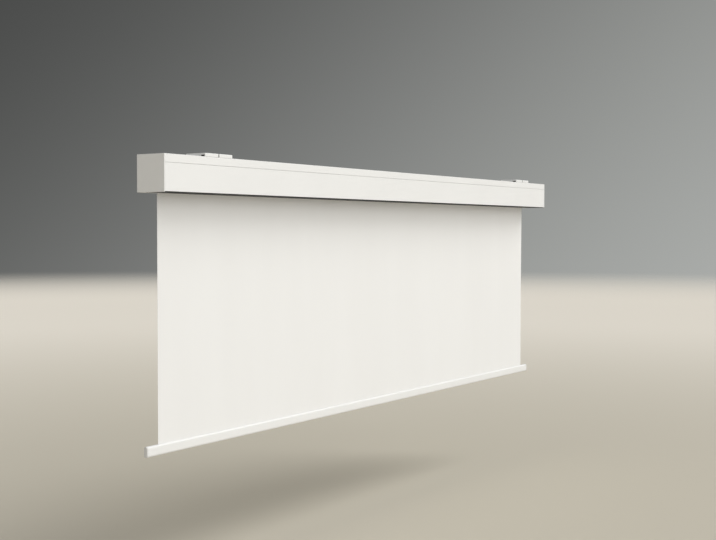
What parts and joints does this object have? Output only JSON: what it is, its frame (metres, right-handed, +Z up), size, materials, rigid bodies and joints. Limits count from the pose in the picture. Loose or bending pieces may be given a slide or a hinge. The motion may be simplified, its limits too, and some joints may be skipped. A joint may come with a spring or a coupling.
{
  "type": "motorised projection screen",
  "caption": "Electric roll-down projection screen: square white case with sliding roof brackets, plain white fabric on a motor-driven roller, and a flat oval hem bar.",
  "frame": {"origin": "on the ceiling plane that the bracket tops touch, midway between the brackets and at mid depth of the case", "axes": "+X along the case towards the motor end, -Y towards the viewers, +Z up"},
  "size_m": [2.5313, 0.111, 0.9048],
  "materials": {
    "white_paint": "satin powder coat",
    "black_paint": "matt black anodising",
    "bare_aluminium": "mill finish",
    "zinc_steel": "zinc plated",
    "black_plastic": "moulded, matt",
    "white_plastic": "moulded, satin",
    "screen_fabric": "matt white coated glass-fibre cloth",
    "motor_casing": "zinc plated tube",
    "limit_screw_white": "moulded",
    "limit_screw_red": "moulded"
  },
  "bodies": {
    "case": {"case_body_profile": "white_paint", "case_front_panel": "white_paint", "case_bottom_panel": "black_paint", "case_end_plate_left": "white_paint", "case_end_plate_right": "white_paint", "cable_gland": "black_plastic", "gland_nut": "black_plastic", "idler_carrier": "zinc_steel", "motor_carrier": "zinc_steel", "idler_carrier_screw_lower": "zinc_steel", "idler_carrier_screw_upper": "zinc_steel", "motor_carrier_screw_lower": "zinc_steel", "motor_carrier_screw_upper": "zinc_steel", "idler_pin": "zinc_steel", "motor_housing": "motor_casing", "motor_head": "black_plastic", "motor_clip": "zinc_steel", "fabric_sheet": "screen_fabric"},
    "roller": {"roller_tube": "bare_aluminium", "fabric_roll": "screen_fabric", "fabric_spline": "white_plastic", "idler_plug": "black_plastic", "idler_bearing": "zinc_steel", "motor_crown": "black_plastic", "motor_shaft": "zinc_steel", "motor_drive_wheel": "black_plastic"},
    "upper_limit_screw": {"limit_screw_upper": "limit_screw_white"},
    "lower_limit_screw": {"limit_screw_lower": "limit_screw_red"},
    "bar": {"hem_bar": "white_paint", "hem_rod": "white_plastic", "hem_bar_cap_left": "white_plastic", "hem_bar_cap_right": "white_plastic"},
    "left_bracket": {"bracket_left_plate": "white_paint", "bracket_left_foot": "zinc_steel", "bracket_left_bolt_inner": "zinc_steel", "bracket_left_bolt_outer": "zinc_steel"},
    "right_bracket": {"bracket_right_plate": "white_paint", "bracket_right_foot": "zinc_steel", "bracket_right_bolt_inner": "zinc_steel", "bracket_right_bolt_outer": "zinc_steel"}
  },
  "joints": [
    {"name": "bar_travel", "type": "slide", "parent": "case", "child": "bar", "axis": [0, 0, 1], "range_m": [0, 0.742], "deforming": ["fabric_sheet"]},
    {"name": "roller_turn", "type": "hinge", "parent": "case", "child": "roller", "pos_m": [0, 0, -0.0663], "axis": [1, 0, 0], "range_deg": [0, 1250]},
    {"name": "upper_limit_turn", "type": "hinge", "parent": "case", "child": "upper_limit_screw", "pos_m": [1.2354, -0.0055, -0.0873], "axis": [0, 0, 1], "continuous": true},
    {"name": "lower_limit_turn", "type": "hinge", "parent": "case", "child": "lower_limit_screw", "pos_m": [1.2354, 0.0055, -0.0873], "axis": [0, 0, 1], "continuous": true},
    {"name": "left_bracket_slide", "type": "slide", "parent": "case", "child": "left_bracket", "axis": [1, 0, 0], "range_m": [-0.16, 0.94]},
    {"name": "right_bracket_slide", "type": "slide", "parent": "case", "child": "right_bracket", "axis": [1, 0, 0], "range_m": [-0.94, 0.16]}
  ],
  "couplings": [
    {"joint": "roller_turn", "follows": "bar_travel", "rad_per_m": 29.304}
  ]
}
